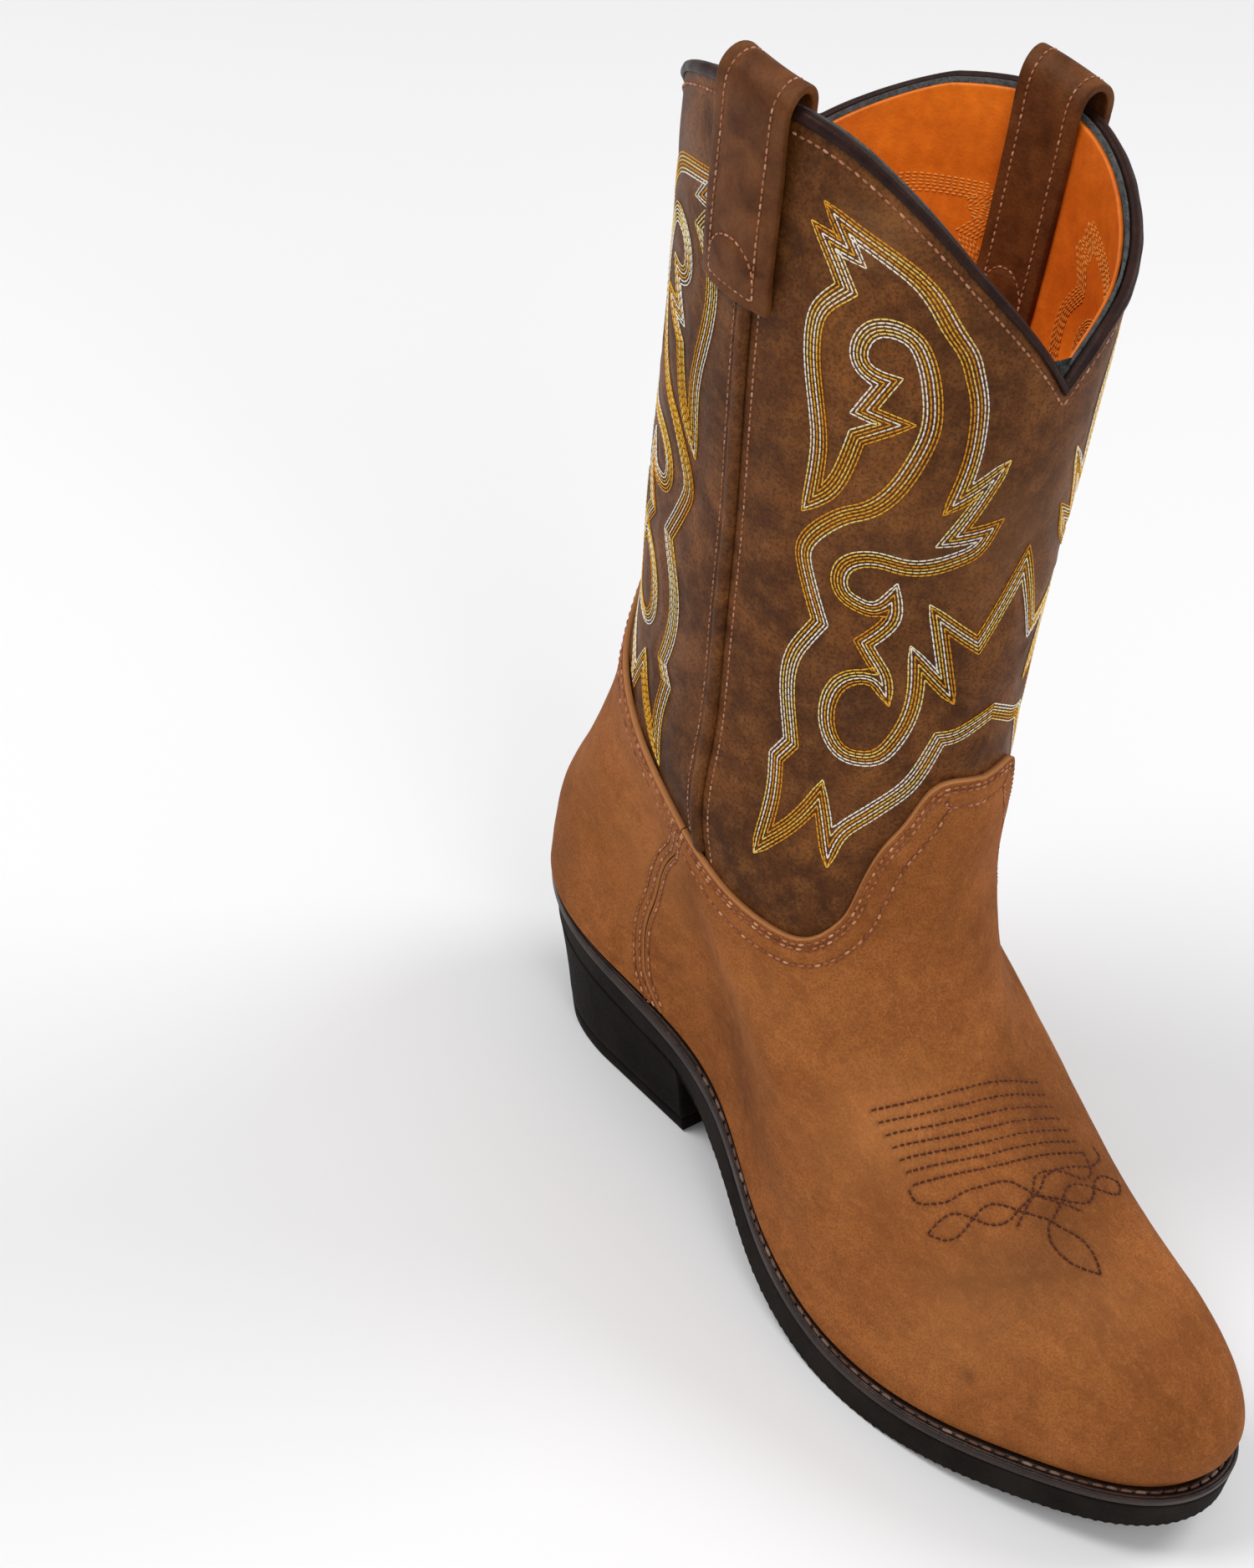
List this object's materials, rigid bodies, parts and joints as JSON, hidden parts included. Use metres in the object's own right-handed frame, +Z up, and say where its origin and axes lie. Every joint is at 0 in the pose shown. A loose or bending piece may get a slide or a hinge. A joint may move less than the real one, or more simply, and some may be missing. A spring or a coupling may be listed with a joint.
{
  "type": "cowboy boot",
  "caption": "Western boot for the right foot: round toe, underslung heel, scalloped collar, stitched shaft and pull straps.",
  "frame": {"origin": "middle of the whole boot in plan, on the floor it stands on", "axes": "+X towards the toe, +Y towards the inner side of this right boot, +Z up the shaft"},
  "size_m": [0.2975, 0.1216, 0.3711],
  "materials": {
    "vamp_leather": "oiled nubuck, soft matt nap with darker rub marks",
    "shaft_leather": "waxy pull-up leather, low sheen",
    "strap_leather": "waxy leather, folded edges",
    "binding_leather": "smooth dark rolled binding",
    "lining_leather": "smooth orange lining leather",
    "backing_felt": "grey felt",
    "stiffener_board": "pressed fibre sheet",
    "welt_leather": "dark waxed welt",
    "sole_rubber": "dense dark brown rubber, satin",
    "heel_rubber": "smooth dark rubber, satin",
    "insole_fibre": "leather board",
    "rib_canvas": "canvas rib",
    "cork": "granulated cork filler",
    "shank_steel": "spring steel",
    "nail_steel": "bright steel",
    "thread": "waxed lockstitch thread",
    "badge": "plain black inlay",
    "foam": "moulded foam",
    "cover_leather": "thin leather cover"
  },
  "bodies": {
    "root": {"outsole": "sole_rubber", "heel_block": "heel_rubber", "heel_cap": "heel_rubber", "welt": "welt_leather", "insole_board": "insole_fibre", "insole_rib": "rib_canvas", "cork_filler": "cork", "shank": "shank_steel", "heel_nails": "nail_steel", "sole_badge": "badge", "welt_stitching": "thread", "outsole_stitching": "thread", "vamp": "vamp_leather", "counter": "vamp_leather", "front_shaft_panel": "shaft_leather", "back_shaft_panel": "shaft_leather", "toe_puff": "stiffener_board", "heel_stiffener": "stiffener_board", "vamp_backing": "stiffener_board", "vamp_lining": "lining_leather", "heel_lining": "lining_leather", "front_shaft_backing": "backing_felt", "back_shaft_backing": "backing_felt", "front_shaft_lining": "lining_leather", "back_shaft_lining": "lining_leather", "side_welt_right": "shaft_leather", "side_welt_left": "shaft_leather", "collar_binding": "binding_leather", "pull_strap_right": "strap_leather", "pull_strap_left": "strap_leather"},
    "footbed": {"footbed": "foam", "footbed_cover": "cover_leather"}
  },
  "joints": [
    {"name": "footbed_lift", "type": "hinge", "parent": "root", "child": "footbed", "pos_m": [0.1377, 0.0001, 0.0246], "axis": [0, 1, 0], "range_deg": [0, 6]}
  ]
}
